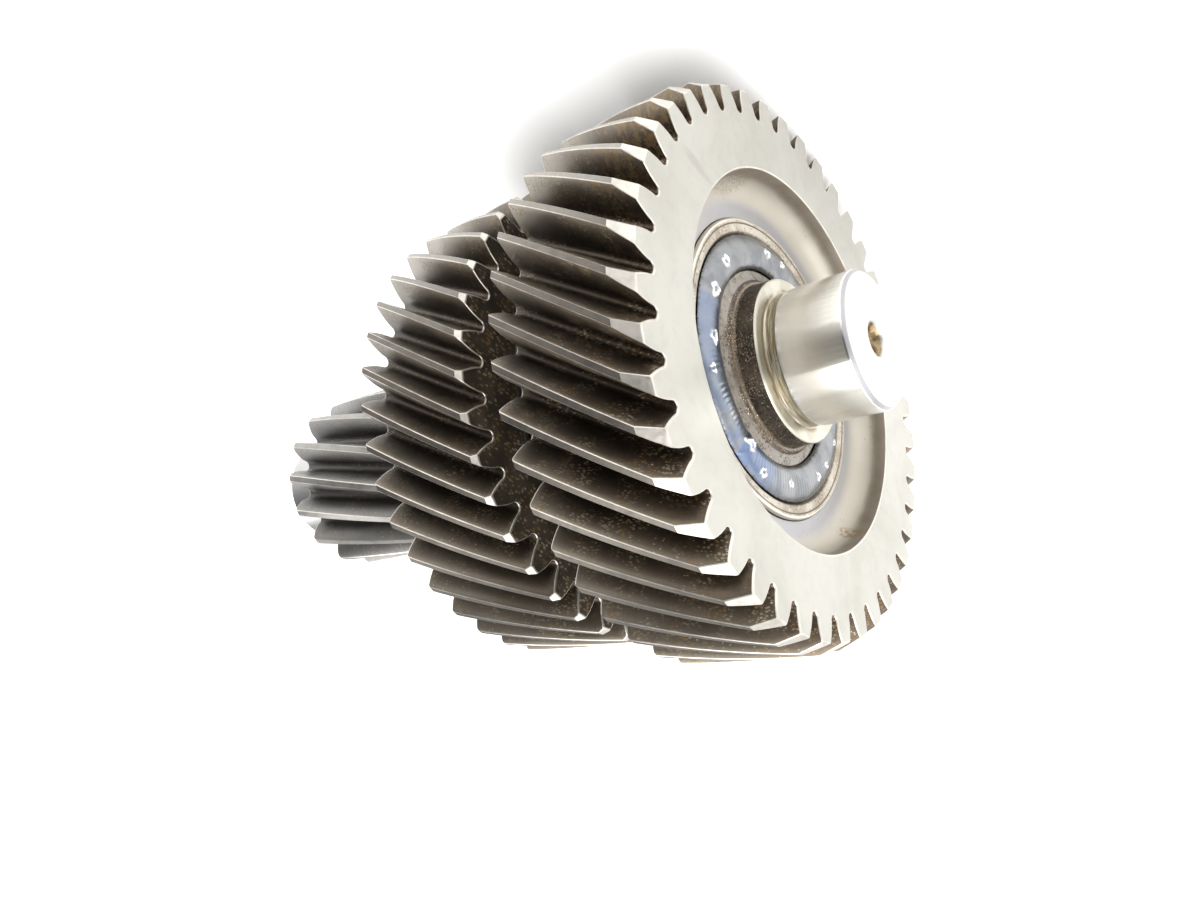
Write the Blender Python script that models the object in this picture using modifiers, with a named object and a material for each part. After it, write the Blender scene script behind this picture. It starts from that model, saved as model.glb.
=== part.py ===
"""Welded countershaft gear cluster: an integral pinion shaft carrying two helical gears.

Metres, +Z up.  The shaft axis is X and runs from the bare near journal (-X) to the pinion end (+X).
Every piece is first made about the Z axis, with z as the station along the shaft measured from the
front face of the large gear, and is then laid along X about the middle of the whole length.
"""
import math

import bmesh
import bpy
from mathutils import Matrix

MM = 0.001
GAP = 0.3 * MM                     # clearance kept between pieces that are pressed or welded together

# Stations along the shaft, from the large gear's front face
NEAR_END = -27.5 * MM
FAR_END = 276.0 * MM
MIDDLE = (NEAR_END + FAR_END) / 2

# One lead serves all three helices, so their thrusts balance; all are right-handed
HELIX_LEAD = 1005.0 * MM

# Shaft
ROUND_STEPS = 40
JOURNAL_R = 25.0 * MM
JOURNAL_CHAMFER = 1.2 * MM
RELIEF_R = 24.3 * MM
RELIEF_START, RELIEF_END = -2.3 * MM, 2.0 * MM
COLLAR_R = 30.4 * MM
COLLAR_END = 10.4 * MM
STEP_R = 32.5 * MM
SEAT_R = 43.3 * MM
NECK_R = 29.2 * MM
CENTRE_MOUTH_R = 6.6 * MM
CENTRE_PILOT_R = 3.15 * MM
CENTRE_CONE = 6.0 * MM
CENTRE_DEPTH = 14.0 * MM

# Welds: a convex bead over a V groove between the shaft seat and the ring round it
WELD_INNER_R = 36.5 * MM
WELD_OUTER_R = 50.7 * MM
WELD_ROOT_DEPTH = 7.0 * MM
WELD_CROWN = 2.6 * MM
WELD_ARC_POINTS = 6
FRONT_TOE = 12.2 * MM
REAR_TOE = 122.0 * MM

# Hub sleeve
SLEEVE_R = 56.5 * MM
SLEEVE_FACE = 11.3 * MM
SLEEVE_LIP = 1.0 * MM
SLEEVE_END = 54.0 * MM

# Large gear
LARGE_TEETH = 42
LARGE_WIDTH = 54.0 * MM
LARGE_TIP_R = 104.0 * MM
LARGE_PITCH_R = 98.3 * MM
LARGE_ROOT_R = 90.9 * MM
LARGE_SLOT_ANGLE = math.radians(249.2)
LARGE_RIM_R = 70.9 * MM
LARGE_FLOOR_R = 61.2 * MM
LARGE_FLOOR = 13.0 * MM
LARGE_CHAMFER_R = 100.3 * MM
LARGE_CHAMFER_LENGTH = 7.6 * MM

# Second gear
SECOND_TEETH = 40
SECOND_START = 79.3 * MM
SECOND_WIDTH = 51.7 * MM
SECOND_TIP_R = 93.6 * MM
SECOND_PITCH_R = 88.2 * MM
SECOND_ROOT_R = 81.9 * MM
SECOND_SLOT_ANGLE = math.radians(187.1)
SECOND_RIM_R = 66.0 * MM
SECOND_FLOOR_R = 59.0 * MM
SECOND_FLOOR = 7.0 * MM
SECOND_CHAMFER = 1.9 * MM

# Pinion, cut in one piece with the shaft
PINION_TEETH = 15
PINION_START = 172.0 * MM
PINION_END = 254.1 * MM
PINION_TIP_R = 41.2 * MM
PINION_PITCH_R = 36.0 * MM
PINION_ROOT_R = 29.9 * MM
PINION_TOOTH_ANGLE = math.radians(203.9)
PINION_CHAMFER = 1.6 * MM

# Spacer ring and the key of the second gear
SPACER_R = 57.0 * MM
KEY_WIDTH = 25.0 * MM
KEY_HEIGHT = 14.0 * MM
KEY_LENGTH = 27.0 * MM
KEY_START = 87.0 * MM
KEY_IN_SHAFT = 9.0 * MM

RIM_BREAK = 0.9 * MM               # small broken edges on turned rims
BLANK_OVER = 1.5 * MM              # how far a cutting blank stands clear of the teeth

object_parts = bpy.data.collections.new("welded_countershaft_gear")
cutters = bpy.data.collections.new("cutters")


def clear_scene():
    for obj in list(bpy.data.objects):
        bpy.data.objects.remove(obj, do_unlink=True)
    bpy.context.scene.collection.children.link(object_parts)
    bpy.context.scene.collection.children.link(cutters)


def steel(name, colour, roughness, metallic=1.0):
    material = bpy.data.materials.new(name)
    material.use_nodes = True
    shader = material.node_tree.nodes["Principled BSDF"]
    shader.inputs["Base Color"].default_value = (*colour, 1.0)
    shader.inputs["Roughness"].default_value = roughness
    shader.inputs["Metallic"].default_value = metallic
    material.diffuse_color = (*colour, 1.0)
    return material


def add_object(name, mesh, collection):
    obj = bpy.data.objects.new(name, mesh)
    collection.objects.link(obj)
    return obj


def apply_modifiers(obj):
    """Freeze the modifier stack of one object into its mesh."""
    graph = bpy.context.evaluated_depsgraph_get()
    mesh = bpy.data.meshes.new_from_object(obj.evaluated_get(graph))
    obj.modifiers.clear()
    obj.data = mesh


def turned(name, profile, steps, closed, collection=None):
    """A solid of revolution about Z.

    profile lists (radius, station) from the top down along the outside; a closed profile
    returns up the bore, an open one starts and ends on the axis.
    """
    mesh = bpy.data.meshes.new(name)
    count = len(profile)
    edges = [(i, i + 1) for i in range(count - 1)]
    if closed:
        edges.append((count - 1, 0))
    mesh.from_pydata([(r, 0.0, z) for r, z in profile], edges, [])
    obj = add_object(name, mesh, collection or object_parts)
    screw = obj.modifiers.new("turn", "SCREW")
    screw.axis = "Z"
    screw.steps = steps
    screw.render_steps = steps
    screw.use_merge_vertices = True
    screw.merge_threshold = 0.00001
    screw.use_normal_calculate = True
    apply_modifiers(obj)
    return obj


def involute(angle):
    return math.tan(angle) - angle


def tooth_half_angle(radius, pitch_r, teeth, pressure, thickness):
    """Half of the angle one tooth fills at a radius, thinning outward along the involute."""
    base_r = pitch_r * math.cos(pressure)
    rolled = math.acos(base_r / max(radius, base_r))
    return thickness * math.pi / (2 * teeth) + involute(pressure) - involute(rolled)


def tooth_section(teeth, root_r, pitch_r, tip_r, pressure, thickness, flank_parts):
    """Outline points (radius, angle) of every tooth in turn, the first slot centred on angle zero."""
    pitch = 2 * math.pi / teeth
    points = []
    for tooth in range(teeth):
        centre = (tooth + 0.5) * pitch
        radii = [root_r + part * (tip_r - root_r) for part in flank_parts]
        halves = [tooth_half_angle(r, pitch_r, teeth, pressure, thickness) for r in radii]
        root_half = pitch / 2 - (pitch / 2 - halves[0]) * 0.45
        points.append((root_r, centre - root_half))
        points += [(r, centre - h) for r, h in zip(radii, halves)]
        points += [(r, centre + h) for r, h in zip(reversed(radii), reversed(halves))]
        points.append((root_r, centre + root_half))
    return points


def toothed_prism(name, section, start, length, phase, steps):
    """Sweep a tooth section along the helix from one station to the next."""
    twist = 2 * math.pi * length / HELIX_LEAD
    mesh = bpy.data.meshes.new(name)
    work = bmesh.new()
    ring = [work.verts.new((r * math.cos(a + phase), r * math.sin(a + phase), start))
            for r, a in section]
    outline = [work.edges.new((ring[i - 1], ring[i])) for i in range(len(ring))]
    bmesh.ops.spin(work, geom=outline, cent=(0, 0, 0), axis=(0, 0, 1), dvec=(0, 0, length / steps),
                   angle=twist, steps=steps, use_duplicate=False)
    bmesh.ops.holes_fill(work, edges=[e for e in work.edges if e.is_boundary], sides=0)
    bmesh.ops.recalc_face_normals(work, faces=work.faces)
    work.to_mesh(mesh)
    work.free()
    return add_object(name, mesh, object_parts)


def combine(obj, tool, operation):
    """Boolean one piece with another; the tool stays behind with the cutters."""
    boolean = obj.modifiers.new(operation.lower(), "BOOLEAN")
    boolean.operation = operation
    boolean.solver = "EXACT"
    boolean.object = tool
    apply_modifiers(obj)
    for holder in list(tool.users_collection):
        holder.objects.unlink(tool)
    cutters.objects.link(tool)
    tool.hide_render = True
    tool.display_type = "WIRE"


def weld_profile(side):
    """Bead outline (radius, depth below the toe line), crown outward, V root inward."""
    middle = (WELD_INNER_R + WELD_OUTER_R) / 2
    half = (WELD_OUTER_R - WELD_INNER_R) / 2 - GAP
    crown = [(middle + half * math.cos(math.pi * i / (WELD_ARC_POINTS - 1)),
              -WELD_CROWN * math.sin(math.pi * i / (WELD_ARC_POINTS - 1)))
             for i in range(WELD_ARC_POINTS)]
    root = [(middle, WELD_ROOT_DEPTH - 3 * GAP)]
    return crown + root if side < 0 else [crown[0]] + root + crown[:0:-1]


def weld_bead(name, toe, side):
    """side is -1 for a bead facing the near journal, +1 for one facing the pinion."""
    outline = [(r, toe - side * depth) for r, depth in weld_profile(side)]
    return turned(name, outline if side > 0 else outline[::-1], ROUND_STEPS, True)


def keyway_box(name, low, height, start, end, width):
    """A box standing on the +X side of the shaft, from one radius up by a height."""
    mesh = bpy.data.meshes.new(name)
    work = bmesh.new()
    size = Matrix.Diagonal((height, width, end - start, 1.0))
    place = Matrix.Translation((low + height / 2, 0.0, (start + end) / 2))
    bmesh.ops.create_cube(work, size=1.0, matrix=place @ size)
    work.to_mesh(mesh)
    work.free()
    return add_object(name, mesh, object_parts)


def make_shaft():
    weld_middle = (WELD_INNER_R + WELD_OUTER_R) / 2
    profile = [
        (0.0, FAR_END - CENTRE_DEPTH),
        (CENTRE_PILOT_R, FAR_END - CENTRE_DEPTH + CENTRE_PILOT_R / 2),
        (CENTRE_PILOT_R, FAR_END - CENTRE_CONE),
        (CENTRE_MOUTH_R, FAR_END),
        (JOURNAL_R - JOURNAL_CHAMFER, FAR_END),
        (JOURNAL_R, FAR_END - JOURNAL_CHAMFER),
        (JOURNAL_R, PINION_END + 2.0 * MM),
        (RELIEF_R, PINION_END + 1.5 * MM),
        (RELIEF_R, PINION_END - 5.0 * MM),
        (NECK_R, PINION_END - 10.0 * MM),
        (NECK_R, REAR_TOE + 12.0 * MM),
        (STEP_R, REAR_TOE + 6.0 * MM),
        (STEP_R, REAR_TOE),
        (WELD_INNER_R, REAR_TOE - GAP),
        (SEAT_R, REAR_TOE - WELD_ROOT_DEPTH),
        (SEAT_R, FRONT_TOE + WELD_ROOT_DEPTH),
        (WELD_INNER_R, FRONT_TOE + GAP),
        (STEP_R, FRONT_TOE - 0.7 * MM),
        (COLLAR_R, COLLAR_END),
        (COLLAR_R, RELIEF_END),
        (RELIEF_R, RELIEF_END),
        (RELIEF_R, RELIEF_START),
        (JOURNAL_R, RELIEF_START - 0.7 * MM),
        (JOURNAL_R, NEAR_END + JOURNAL_CHAMFER),
        (JOURNAL_R - JOURNAL_CHAMFER, NEAR_END),
        (CENTRE_MOUTH_R, NEAR_END),
        (CENTRE_PILOT_R, NEAR_END + CENTRE_CONE),
        (CENTRE_PILOT_R, NEAR_END + CENTRE_DEPTH - CENTRE_PILOT_R / 2),
        (0.0, NEAR_END + CENTRE_DEPTH),
    ]
    assert WELD_INNER_R < SEAT_R < weld_middle
    shaft = turned("pinion_shaft", profile, ROUND_STEPS, False)

    section = tooth_section(PINION_TEETH, PINION_ROOT_R, PINION_PITCH_R, PINION_TIP_R,
                            math.radians(21.5), 1.04, (0.14, 0.42, 0.71, 1.0))
    slot = PINION_TOOTH_ANGLE - math.pi / PINION_TEETH
    slot -= 2 * math.pi * (PINION_END - PINION_START) / HELIX_LEAD
    pinion = toothed_prism("pinion_teeth", section, PINION_START, PINION_END - PINION_START, slot, 5)
    over = PINION_TIP_R + BLANK_OVER
    inset = PINION_CHAMFER + BLANK_OVER
    blank = turned("pinion_blank", [
        (0.0, PINION_END),
        (PINION_TIP_R - PINION_CHAMFER, PINION_END),
        (over, PINION_END - inset),
        (over, PINION_START + inset),
        (PINION_TIP_R - PINION_CHAMFER, PINION_START),
        (0.0, PINION_START),
    ], PINION_TEETH * 4, False)
    combine(pinion, blank, "INTERSECT")
    combine(shaft, pinion, "UNION")

    slot_cut = keyway_box("shaft_keyway", SEAT_R - KEY_IN_SHAFT, KEY_HEIGHT,
                          KEY_START - GAP, KEY_START + KEY_LENGTH + GAP, KEY_WIDTH + 2 * GAP)
    combine(shaft, slot_cut, "DIFFERENCE")
    return shaft


def make_sleeve():
    bore = SEAT_R + GAP
    weld_edge = WELD_OUTER_R
    return turned("hub_sleeve", [
        (bore + RIM_BREAK, SLEEVE_END),
        (SLEEVE_R - RIM_BREAK, SLEEVE_END),
        (SLEEVE_R, SLEEVE_END - RIM_BREAK),
        (SLEEVE_R, SLEEVE_FACE + SLEEVE_LIP),
        (SLEEVE_R - SLEEVE_LIP, SLEEVE_FACE),
        (weld_edge + 1.4 * MM, SLEEVE_FACE),
        (weld_edge, FRONT_TOE + GAP),
        (bore, FRONT_TOE + WELD_ROOT_DEPTH),
        (bore, SLEEVE_END - RIM_BREAK),
    ], ROUND_STEPS, True)


def recess(rim_r, floor_r, depth, face, side, points=4):
    """Dished recess from the rim in to the web floor; side is the way its face looks."""
    radius = rim_r - RIM_BREAK - floor_r
    outline = [(rim_r, face), (rim_r - RIM_BREAK, face - side * RIM_BREAK)]
    sink = depth - radius
    for i in range(points + 1):
        turn = math.pi / 2 * i / points
        outline.append((floor_r + radius * math.cos(turn), face - side * (sink + radius * math.sin(turn))))
    return outline


def make_gear(name, teeth, start, width, radii, slot, front, rear, bore, chamfer, shape):
    """A helical gear: swept teeth cut back to a turned blank with dished faces and a bore."""
    tip_r, pitch_r, root_r = radii
    pressure, thickness, parts, steps = shape
    end = start + width
    section = tooth_section(teeth, root_r, pitch_r, tip_r, pressure, thickness, parts)
    gear = toothed_prism(name, section, start - BLANK_OVER, width + 2 * BLANK_OVER,
                         slot - 2 * math.pi * BLANK_OVER / HELIX_LEAD, steps)
    chamfer_r, chamfer_length = chamfer
    over_length = chamfer_length * (tip_r + BLANK_OVER - chamfer_r) / (tip_r - chamfer_r)
    profile = [(tip_r - RIM_BREAK, end), (tip_r + BLANK_OVER, end - RIM_BREAK - BLANK_OVER),
               (tip_r + BLANK_OVER, start + over_length), (chamfer_r, start)]
    profile += front + [(bore, front[-1][1])]
    profile += [(bore, rear[-1][1])] + rear[::-1]
    blank = turned(name + "_blank", profile, teeth, True)
    combine(gear, blank, "INTERSECT")
    return gear


def make_large_gear():
    front = recess(LARGE_RIM_R, LARGE_FLOOR_R, LARGE_FLOOR, 0.0, -1)
    rear = recess(LARGE_RIM_R, LARGE_FLOOR_R, LARGE_FLOOR * 0.6, LARGE_WIDTH, 1, points=2)
    return make_gear("large_gear", LARGE_TEETH, 0.0, LARGE_WIDTH,
                     (LARGE_TIP_R, LARGE_PITCH_R, LARGE_ROOT_R), LARGE_SLOT_ANGLE, front, rear,
                     SLEEVE_R + GAP, (LARGE_CHAMFER_R, LARGE_CHAMFER_LENGTH),
                     (math.radians(20.5), 1.0, (0.14, 0.56, 1.0), 3))


def make_second_gear():
    start, end = SECOND_START, SECOND_START + SECOND_WIDTH
    front = recess(SECOND_RIM_R, SECOND_FLOOR_R, SECOND_FLOOR, start, -1, points=2)
    bore = SEAT_R + GAP
    rear = recess(SECOND_RIM_R, SECOND_FLOOR_R, end - REAR_TOE, end, 1, points=3)
    rear += [(WELD_OUTER_R, REAR_TOE - GAP), (bore, REAR_TOE - WELD_ROOT_DEPTH)]
    gear = make_gear("second_gear", SECOND_TEETH, start, SECOND_WIDTH,
                     (SECOND_TIP_R, SECOND_PITCH_R, SECOND_ROOT_R), SECOND_SLOT_ANGLE, front, rear,
                     bore, (SECOND_TIP_R - SECOND_CHAMFER, SECOND_CHAMFER),
                     (math.radians(20.5), 1.0, (0.14, 0.56, 1.0), 3))
    top = SEAT_R - KEY_IN_SHAFT + KEY_HEIGHT + 2 * GAP
    slot = keyway_box("gear_keyway", SEAT_R - KEY_IN_SHAFT, top - SEAT_R + KEY_IN_SHAFT,
                      start - BLANK_OVER, KEY_START + KEY_LENGTH + GAP, KEY_WIDTH + 2 * GAP)
    combine(gear, slot, "DIFFERENCE")
    return gear


def make_spacer():
    low, high, bore = SLEEVE_END + GAP, SECOND_START + SECOND_FLOOR - GAP, SEAT_R + GAP
    return turned("spacer_ring", [
        (bore + RIM_BREAK, high), (SPACER_R - RIM_BREAK, high), (SPACER_R, high - RIM_BREAK),
        (SPACER_R, low + RIM_BREAK), (SPACER_R - RIM_BREAK, low), (bore + RIM_BREAK, low),
        (bore, low + RIM_BREAK), (bore, high - RIM_BREAK),
    ], ROUND_STEPS, True)


def make_key():
    return keyway_box("second_gear_key", SEAT_R - KEY_IN_SHAFT + GAP, KEY_HEIGHT,
                      KEY_START, KEY_START + KEY_LENGTH, KEY_WIDTH)


def finish(obj, material):
    """Lay the piece along X about the middle of the shaft, shade it and give it its material."""
    along_x = Matrix(((0, 0, 1, -MIDDLE), (1, 0, 0, 0), (0, 1, 0, 0), (0, 0, 0, 1)))
    obj.data.transform(along_x)
    work = bmesh.new()
    work.from_mesh(obj.data)
    bmesh.ops.remove_doubles(work, verts=work.verts, dist=0.02 * MM)
    bmesh.ops.recalc_face_normals(work, faces=work.faces)
    work.to_mesh(obj.data)
    work.free()
    obj.data.materials.clear()
    obj.data.materials.append(material)
    obj.data.shade_smooth()
    obj.data.set_sharp_from_angle(angle=math.radians(28))


clear_scene()

ground = steel("ground_shaft_steel", (0.62, 0.61, 0.58), 0.28)
gear_steel = steel("gear_steel", (0.40, 0.38, 0.35), 0.42)
second_steel = steel("second_gear_steel", (0.36, 0.34, 0.31), 0.45)
tinted = steel("heat_tinted_steel", (0.33, 0.25, 0.18), 0.45)
bead_steel = steel("weld_bead_steel", (0.22, 0.25, 0.31), 0.38)
plain = steel("plain_steel", (0.30, 0.28, 0.26), 0.5)

finish(make_shaft(), ground)
finish(make_sleeve(), tinted)
finish(make_large_gear(), gear_steel)
finish(make_spacer(), plain)
finish(make_second_gear(), second_steel)
finish(make_key(), plain)
finish(weld_bead("front_weld_bead", FRONT_TOE, -1), bead_steel)
finish(weld_bead("rear_weld_bead", REAR_TOE, 1), bead_steel)
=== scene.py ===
"""Looks of the welded countershaft gear cluster.

Every piece is a loft of rings about the shaft axis, which is X.  Stations are in millimetres from the
front face of the large gear towards the pinion; radii are in millimetres; angles turn about +X from Y
towards Z.  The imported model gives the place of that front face.
"""

import math
from dataclasses import dataclass

import bmesh
import bpy
import numpy as np
from mathutils import Matrix, Vector


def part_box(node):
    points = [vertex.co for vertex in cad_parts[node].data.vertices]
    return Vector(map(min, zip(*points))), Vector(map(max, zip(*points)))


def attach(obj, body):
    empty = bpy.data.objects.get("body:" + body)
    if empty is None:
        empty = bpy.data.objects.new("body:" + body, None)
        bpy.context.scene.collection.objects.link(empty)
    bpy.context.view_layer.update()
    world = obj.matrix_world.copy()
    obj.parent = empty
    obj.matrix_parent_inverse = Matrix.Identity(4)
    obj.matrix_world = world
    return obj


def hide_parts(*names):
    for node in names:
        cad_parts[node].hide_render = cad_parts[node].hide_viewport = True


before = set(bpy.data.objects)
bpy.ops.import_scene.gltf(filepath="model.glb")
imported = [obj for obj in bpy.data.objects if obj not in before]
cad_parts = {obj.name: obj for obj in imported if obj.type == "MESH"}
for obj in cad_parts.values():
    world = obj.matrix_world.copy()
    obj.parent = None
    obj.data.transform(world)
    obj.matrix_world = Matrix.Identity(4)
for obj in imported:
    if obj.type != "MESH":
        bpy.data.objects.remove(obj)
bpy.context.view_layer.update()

MM = 0.001
FACE_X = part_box("large_gear")[0].x
NEAR_END = (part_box("pinion_shaft")[0].x - FACE_X) / MM
FAR_END = (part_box("pinion_shaft")[1].x - FACE_X) / MM
LARGE_END = (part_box("large_gear")[1].x - FACE_X) / MM
SECOND_START = (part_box("second_gear")[0].x - FACE_X) / MM
SECOND_END = (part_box("second_gear")[1].x - FACE_X) / MM
HELIX_LEAD = 1005.0
SHARP = math.radians(23)
FULL = 2 * math.pi

WELD_INNER, WELD_OUTER = 36.5, 50.7
FRONT_TOE, REAR_TOE = 12.2, 122.0
SEAT = 43.3
SLEEVE_R, SLEEVE_FACE = 56.5, 11.3
WELD_SEAM = 110.5          # where the front bead starts and stops, degrees
REAR_SEAM = 200.0
GAP = 0.3


@dataclass
class Teeth:
    count: int
    root: float
    pitch_r: float
    tip: float
    pressure: float        # transverse pressure angle, degrees
    thickness: float       # tooth thickness at the pitch circle, 1 = half the pitch
    slot: float            # angle of a slot's middle at the gear's front face, degrees
    edge: float            # bevel along the tip corners
    fillet: float = 2.0
    flank_points: int = 8
    root_points: int = 5


LARGE = Teeth(42, 90.9, 98.3, 104.0, 20.5, 1.0, 249.2, 0.28)
SECOND = Teeth(40, 81.9, 88.2, 93.6, 20.5, 1.0, 187.1, 0.28)
PINION_START, PINION_END = 172.0, 254.1
PINION_TIP_ANGLE = 203.9
PINION_SLOT = PINION_TIP_ANGLE - 12.0 - 360.0 * (PINION_END - PINION_START) / HELIX_LEAD
PINION = Teeth(15, 29.9, 36.0, 41.2, 21.5, 1.04, PINION_SLOT, 0.3, 2.6, 9, 6)


# ---------------------------------------------------------------- mesh helpers

def circle(x, radius, angles):
    """One ring of points at a station: x and radius may be numbers or one value per angle."""
    x = np.broadcast_to(x, angles.shape)
    return np.stack([FACE_X + x * MM, radius * MM * np.cos(angles), radius * MM * np.sin(angles)], 1)


def loft(name, rings, materials, paint, closed=False, crisp=()):
    """A skin over rings of equal count; paint(band, column) gives the material index of each face.

    The rings numbered in crisp stay sharp edges however shallow the angle across them.
    """
    count, columns = len(rings), len(rings[0])
    points = np.concatenate(rings)
    bands = count if closed else count - 1
    k, m = np.meshgrid(np.arange(bands), np.arange(columns), indexing="ij")
    k1, m1 = (k + 1) % count, (m + 1) % columns
    quads = np.stack([k * columns + m, k * columns + m1, k1 * columns + m1, k1 * columns + m], -1)
    mesh = bpy.data.meshes.new(name)
    faces = quads.reshape(-1, 4).tolist()
    slots = paint(k, m).reshape(-1).tolist()
    if not closed:
        for ring, station in ((0, rings[0]), (count - 1, rings[-1])):
            points = np.concatenate([points, station.mean(0)[None]])
            hub = len(points) - 1
            fan = [(hub, ring * columns + i, ring * columns + (i + 1) % columns) for i in range(columns)]
            faces += fan
            slots += [slots[0] if ring == 0 else slots[bands * columns - 1]] * columns
    mesh.from_pydata(points.tolist(), [], faces)
    for material in materials:
        mesh.materials.append(material)
    mesh.polygons.foreach_set("material_index", slots)
    work = bmesh.new()
    work.from_mesh(mesh)
    bmesh.ops.recalc_face_normals(work, faces=work.faces)
    work.to_mesh(mesh)
    work.free()
    mesh.shade_smooth()
    mesh.set_sharp_from_angle(angle=SHARP)
    if crisp:
        ends = np.empty(len(mesh.edges) * 2, np.int32)
        mesh.edges.foreach_get("vertices", ends)
        ring = (ends // columns).reshape(-1, 2)
        sharp = np.empty(len(mesh.edges), bool)
        mesh.edges.foreach_get("use_edge_sharp", sharp)
        on_ring = (ring[:, 0] == ring[:, 1]) & np.isin(ring[:, 0], crisp)
        mesh.edges.foreach_set("use_edge_sharp", sharp | on_ring)
    obj = bpy.data.objects.new(name, mesh)
    bpy.context.scene.collection.objects.link(obj)
    return obj


def held(points, margin=0.3):
    """A profile with an extra point near both ends of every long stretch, to keep flats flat in shading.

    Points are (station, radius) or (station, radius, kind); a stretch takes the kind of its first point.
    """
    out = []
    for a, b in zip(points, points[1:]):
        out.append(a)
        length = math.hypot(b[0] - a[0], b[1] - a[1])
        if length > 4 * margin:
            for share in (margin / length, 1 - margin / length):
                out.append((a[0] + (b[0] - a[0]) * share, a[1] + (b[1] - a[1]) * share, *a[2:]))
    return out + [points[-1]]


def place(obj, slot, *nodes):
    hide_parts(*nodes)
    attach(obj, "root")
    return obj


# ---------------------------------------------------------------- teeth

def involute(angle):
    return np.tan(angle) - angle


def slot_half(gear, radius):
    """Half the angle between two teeth at a radius."""
    pressure = math.radians(gear.pressure)
    base = gear.pitch_r * math.cos(pressure)
    rolled = np.arccos(base / np.maximum(radius, base))
    tooth = gear.thickness * math.pi / (2 * gear.count) + involute(pressure) - involute(rolled)
    return math.pi / gear.count - tooth


def outline(gear, tip):
    """The whole toothed outline as radius and angle arrays, for teeth cut off at radius tip."""
    start = gear.root + gear.fillet
    swing = np.linspace(0, math.pi / 2, gear.root_points + 1)[:-1]
    radii = list(start - gear.fillet * np.cos(swing))
    angles = list(slot_half(gear, start) * np.sin(swing))
    flank = np.linspace(start, tip - gear.edge, gear.flank_points)
    radii += list(flank)
    angles += list(slot_half(gear, flank))
    radii += [tip, tip]
    angles += [angles[-1] + gear.edge / tip, math.pi / gear.count]
    pitch = FULL / gear.count
    radii, angles = np.array(radii), np.array(angles)
    one_r = np.concatenate([radii, radii[-2:0:-1]])
    one_a = np.concatenate([angles, pitch - angles[-2:0:-1]])
    turns = np.repeat(np.arange(gear.count) * pitch, len(one_r))
    return np.tile(one_r, gear.count), np.tile(one_a, gear.count) + turns


def inset(radius, angle, amount):
    """Move an outline into the metal by amount, square to itself."""
    flat = np.stack([radius * np.cos(angle), radius * np.sin(angle)], 1)
    ahead = np.roll(flat, -1, 0) - flat
    behind = flat - np.roll(flat, 1, 0)
    ahead /= np.linalg.norm(ahead, axis=1)[:, None]
    behind /= np.linalg.norm(behind, axis=1)[:, None]
    along = ahead + behind
    along /= np.linalg.norm(along, axis=1)[:, None]
    miter = np.maximum((along * ahead).sum(1), 0.6)
    out = np.stack([along[:, 1], -along[:, 0]], 1)
    moved = flat - out * (amount / miter)[:, None]
    turned = np.unwrap(np.arctan2(moved[:, 1], moved[:, 0]))
    turned += round((angle[0] - turned[0]) / FULL) * FULL
    return np.linalg.norm(moved, axis=1), turned


def tip_columns(gear):
    """Columns of faces on the tooth lands, and those on the bevels beside them."""
    half = gear.root_points + gear.flank_points + 1
    column = np.arange(2 * half * gear.count) % (2 * half)
    return (column == half - 1) | (column == half), (column == half - 2) | (column == half + 1)


DEBURR_SHARES = (0.0, 1 / 3, 2 / 3, 1.0)


def toothed_rings(gear, start, end, stations, tip_at, deburr_front, deburr_rear):
    """Rings from the inset front outline, along the helix, to the inset rear outline."""
    rings = []

    def add(x, amount):
        radius, angle = outline(gear, tip_at(x))
        if amount:
            radius, angle = inset(radius, angle, amount)
        turn = math.radians(gear.slot) + FULL * (x - start) / HELIX_LEAD
        rings.append((x, radius, angle + turn))

    for share in DEBURR_SHARES:
        swing = share * math.pi / 2
        add(start + deburr_front * (1 - math.cos(swing)), deburr_front * (1 - math.sin(swing)))
    for x in stations:
        add(x, 0.0)
    for share in DEBURR_SHARES[::-1]:
        swing = share * math.pi / 2
        add(end - deburr_rear * (1 - math.cos(swing)), deburr_rear * (1 - math.sin(swing)))
    return rings


def on_edge(ring, count):
    """True for the bands of the broken edges at the two ends of the teeth."""
    steps = len(DEBURR_SHARES) - 1
    return ring < steps or count - 1 - steps <= ring < count - 1


def bore_rings(first, last, angles_first, angles_last, radius, count=6):
    """Rings along a bore that untwist from one face's columns to the other's."""
    for share in np.linspace(0, 1, count):
        yield (first + (last - first) * share, radius, angles_first + (angles_last - angles_first) * share)


def dish(rim, rim_break, floor_r, fillet, depth, face, side, points):
    """Recess outline from the rim to the web floor as (station, radius) pairs."""
    wall = rim - rim_break
    outline_points = [(face, rim), (face + side * rim_break * 0.35, rim - rim_break * 0.75),
                      (face + side * rim_break, wall)]
    centre_x = depth - fillet
    for turn in np.linspace(0, math.pi / 2, points):
        outline_points.append((face + side * (centre_x + fillet * math.sin(turn)),
                               floor_r + (wall - floor_r) * math.cos(turn)))
    return outline_points


FLANK, EDGE, FACE, DISH, BORE, LAND, REAR = range(7)


RIM_BREAK = 0.65           # width of the bright broken edge round a recess


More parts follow.
